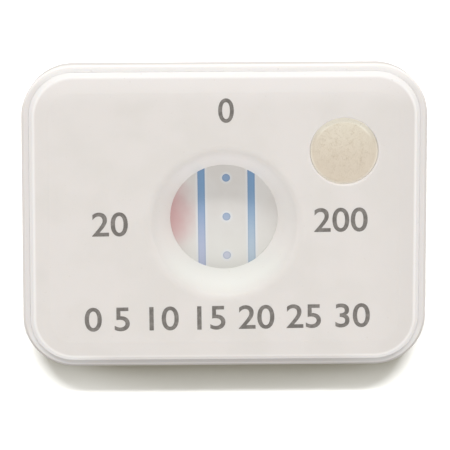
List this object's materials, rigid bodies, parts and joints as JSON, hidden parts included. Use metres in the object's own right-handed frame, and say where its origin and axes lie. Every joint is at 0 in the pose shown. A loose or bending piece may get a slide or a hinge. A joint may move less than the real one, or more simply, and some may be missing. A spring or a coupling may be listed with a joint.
{
  "type": "lateral flow cassette",
  "caption": "Flat white test cassette with rounded corners, a funnel-shaped reading window over a striped membrane and a round sample well beside it.",
  "frame": {"origin": "middle of the flat underside", "axes": "+X along the long side, +Y along the short side towards the sample well, +Z out of the printed face"},
  "size_m": [0.0604, 0.0464, 0.008],
  "materials": {
    "shell": "satin moulded white",
    "membrane": "fine matt white membrane",
    "reagent": "dried blue reagent",
    "sample_pad": "cream fibre pad",
    "pad": "white cotton fibre pad",
    "card": "plain white film"
  },
  "bodies": {
    "root": {"upper_shell": "shell", "lower_shell": "shell", "membrane": "membrane", "backing_card": "card", "left_reagent_line": "reagent", "right_reagent_line": "reagent", "control_dots": "reagent", "transfer_pad": "pad", "sample_pad": "sample_pad", "absorbent_pad": "pad"}
  },
  "joints": []
}
